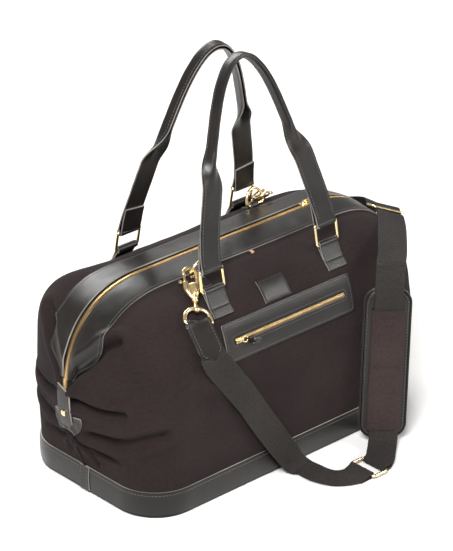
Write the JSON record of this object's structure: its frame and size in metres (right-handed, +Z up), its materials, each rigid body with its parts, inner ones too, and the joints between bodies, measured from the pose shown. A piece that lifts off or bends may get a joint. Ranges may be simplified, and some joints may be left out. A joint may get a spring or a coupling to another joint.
{
  "type": "weekender bag",
  "caption": "Soft canvas weekender bag with leather base band and trim, zipped top and front pocket, two shoulder handles on rings and a padded clip-on strap.",
  "frame": {"origin": "centre of the underside of the base", "axes": "+X along the bag to the right, -Y the front with the zipped pocket, +Z up"},
  "size_m": [0.5695, 0.3655, 0.5464],
  "materials": {
    "canvas": "waxed cotton canvas, matt",
    "lining": "cotton lining",
    "leather": "black leather, satin",
    "board": "stiffening board",
    "webbing": "cotton webbing, dark",
    "foam": "closed-cell foam",
    "brass": "polished brass",
    "tape": "zip tape"
  },
  "bodies": {
    "root": {"base_band": "leather", "base_board": "board", "base_panel": "leather", "base_welt": "leather", "canvas_front": "canvas", "canvas_back": "canvas", "lining_front": "lining", "lining_back": "lining", "zip_facing_end_left": "leather", "zip_facing_end_right": "leather", "zip_tape_ends": "tape", "zip_chain_ends": "brass", "pocket_panel": "leather", "pocket_zip_tape": "tape", "pocket_zip_chain": "brass", "pocket_bag": "lining", "leather_patch": "leather", "ring_tab_front_left": "leather", "ring_tab_front_right": "leather", "ring_tab_back_left": "leather", "ring_tab_back_right": "leather", "d_keeper_front": "leather", "d_keeper_back": "leather", "hook_eye_front": "brass", "hook_eye_back": "brass", "strap_tab_front": "leather", "strap_tab_back": "leather", "webbing_front": "webbing", "webbing_adjust": "webbing", "strap_slider": "brass", "link_ring": "brass", "zip_anchors": "leather"},
    "mouth_front": {"zip_facing_front": "leather", "zip_tape_front": "tape", "zip_chain_front": "brass"},
    "mouth_back": {"zip_facing_back": "leather", "zip_tape_back": "tape", "zip_chain_back": "brass"},
    "zip_slider": {"zip_slider": "brass"},
    "zip_pull": {"zip_pull": "leather"},
    "pocket_slider": {"pocket_slider": "brass"},
    "pocket_pull": {"pocket_pull": "leather"},
    "rings_front": {"rings_front": "brass"},
    "rings_back": {"rings_back": "brass"},
    "handle_front": {"handle_front": "leather"},
    "handle_back": {"handle_back": "leather"},
    "d_ring_front": {"d_ring_front": "brass"},
    "d_ring_back": {"d_ring_back": "brass"},
    "hook_front": {"hook_front": "brass"},
    "hook_back": {"hook_back": "brass"},
    "hook_bolt_front": {"hook_bolt_front": "brass"},
    "hook_bolt_back": {"hook_bolt_back": "brass"},
    "shoulder_pad": {"pad_sleeve": "canvas", "pad_foam": "foam", "pad_backing": "leather", "pad_piping": "leather"},
    "zip_tail_left": {"zip_tail_left": "leather", "tail_stud_left": "brass"},
    "zip_tail_right": {"zip_tail_right": "leather", "tail_stud_right": "brass"}
  },
  "joints": [
    {"name": "mouth_front_open", "type": "hinge", "parent": "root", "child": "mouth_front", "pos_m": [0, -0.04277, 0.27752], "axis": [1, 0, 0], "range_deg": [0, 75]},
    {"name": "mouth_back_open", "type": "hinge", "parent": "root", "child": "mouth_back", "pos_m": [0, 0.04277, 0.27752], "axis": [-1, 0, 0], "range_deg": [0, 75]},
    {"name": "zip_slide", "type": "slide", "parent": "root", "child": "zip_slider", "axis": [-1, 0, 0], "range_m": [0, 0.276]},
    {"name": "zip_pull_swing", "type": "hinge", "parent": "zip_slider", "child": "zip_pull", "pos_m": [0.1392, 0, 0.2875], "axis": [0, -1, 0], "range_deg": [0, 150]},
    {"name": "pocket_zip_slide", "type": "slide", "parent": "root", "child": "pocket_slider", "axis": [1, 0, 0], "range_m": [0, 0.18]},
    {"name": "pocket_pull_swing", "type": "hinge", "parent": "pocket_slider", "child": "pocket_pull", "pos_m": [-0.0898, -0.12402, 0.2111], "axis": [0, -0.2964, -0.9551], "range_deg": [0, 150]},
    {"name": "rings_front_tilt", "type": "hinge", "parent": "root", "child": "rings_front", "pos_m": [0, -0.083, 0.271], "axis": [1, 0, 0], "range_deg": [0, 45]},
    {"name": "rings_back_tilt", "type": "hinge", "parent": "root", "child": "rings_back", "pos_m": [0, 0.083, 0.271], "axis": [-1, 0, 0], "range_deg": [0, 45]},
    {"name": "handle_front_fold", "type": "hinge", "parent": "rings_front", "child": "handle_front", "pos_m": [0, -0.07785, 0.2975], "axis": [1, 0, 0], "range_deg": [-2, 45]},
    {"name": "handle_back_fold", "type": "hinge", "parent": "rings_back", "child": "handle_back", "pos_m": [0, 0.07785, 0.2975], "axis": [-1, 0, 0], "range_deg": [-2, 45]},
    {"name": "d_ring_front_tilt", "type": "hinge", "parent": "root", "child": "d_ring_front", "pos_m": [-0.099, -0.052, 0.2792], "axis": [1, 0, 0], "range_deg": [-6, 6]},
    {"name": "d_ring_back_tilt", "type": "hinge", "parent": "root", "child": "d_ring_back", "pos_m": [0.099, 0.052, 0.2792], "axis": [-1, 0, 0], "range_deg": [-6, 6]},
    {"name": "hook_front_swivel", "type": "hinge", "parent": "root", "child": "hook_front", "pos_m": [-0.1135, -0.0545, 0.286], "axis": [-0.4729, -0.7392, -0.4795], "range_deg": [-6, 6]},
    {"name": "hook_back_swivel", "type": "hinge", "parent": "root", "child": "hook_back", "pos_m": [0.1135, 0.0545, 0.286], "axis": [0.4729, 0.7392, -0.4795], "range_deg": [-6, 6]},
    {"name": "hook_front_trigger", "type": "slide", "parent": "hook_front", "child": "hook_bolt_front", "axis": [-0.4729, -0.7392, -0.4795], "range_m": [0, 0.008], "stiffness_N_per_m": 150, "springref_m": -0.003},
    {"name": "hook_back_trigger", "type": "slide", "parent": "hook_back", "child": "hook_bolt_back", "axis": [0.4729, 0.7392, -0.4795], "range_m": [0, 0.008], "stiffness_N_per_m": 150, "springref_m": -0.003},
    {"name": "pad_slide", "type": "slide", "parent": "root", "child": "shoulder_pad", "axis": [0.13, 0.095, 0.987], "range_m": [0, 0.03]},
    {"name": "tail_left_lift", "type": "hinge", "parent": "root", "child": "zip_tail_left", "pos_m": [-0.27885, 0, 0.16619], "axis": [0, 1, 0], "range_deg": [0, 80]},
    {"name": "tail_right_lift", "type": "hinge", "parent": "root", "child": "zip_tail_right", "pos_m": [0.27885, 0, 0.16619], "axis": [0, -1, 0], "range_deg": [0, 80]}
  ]
}
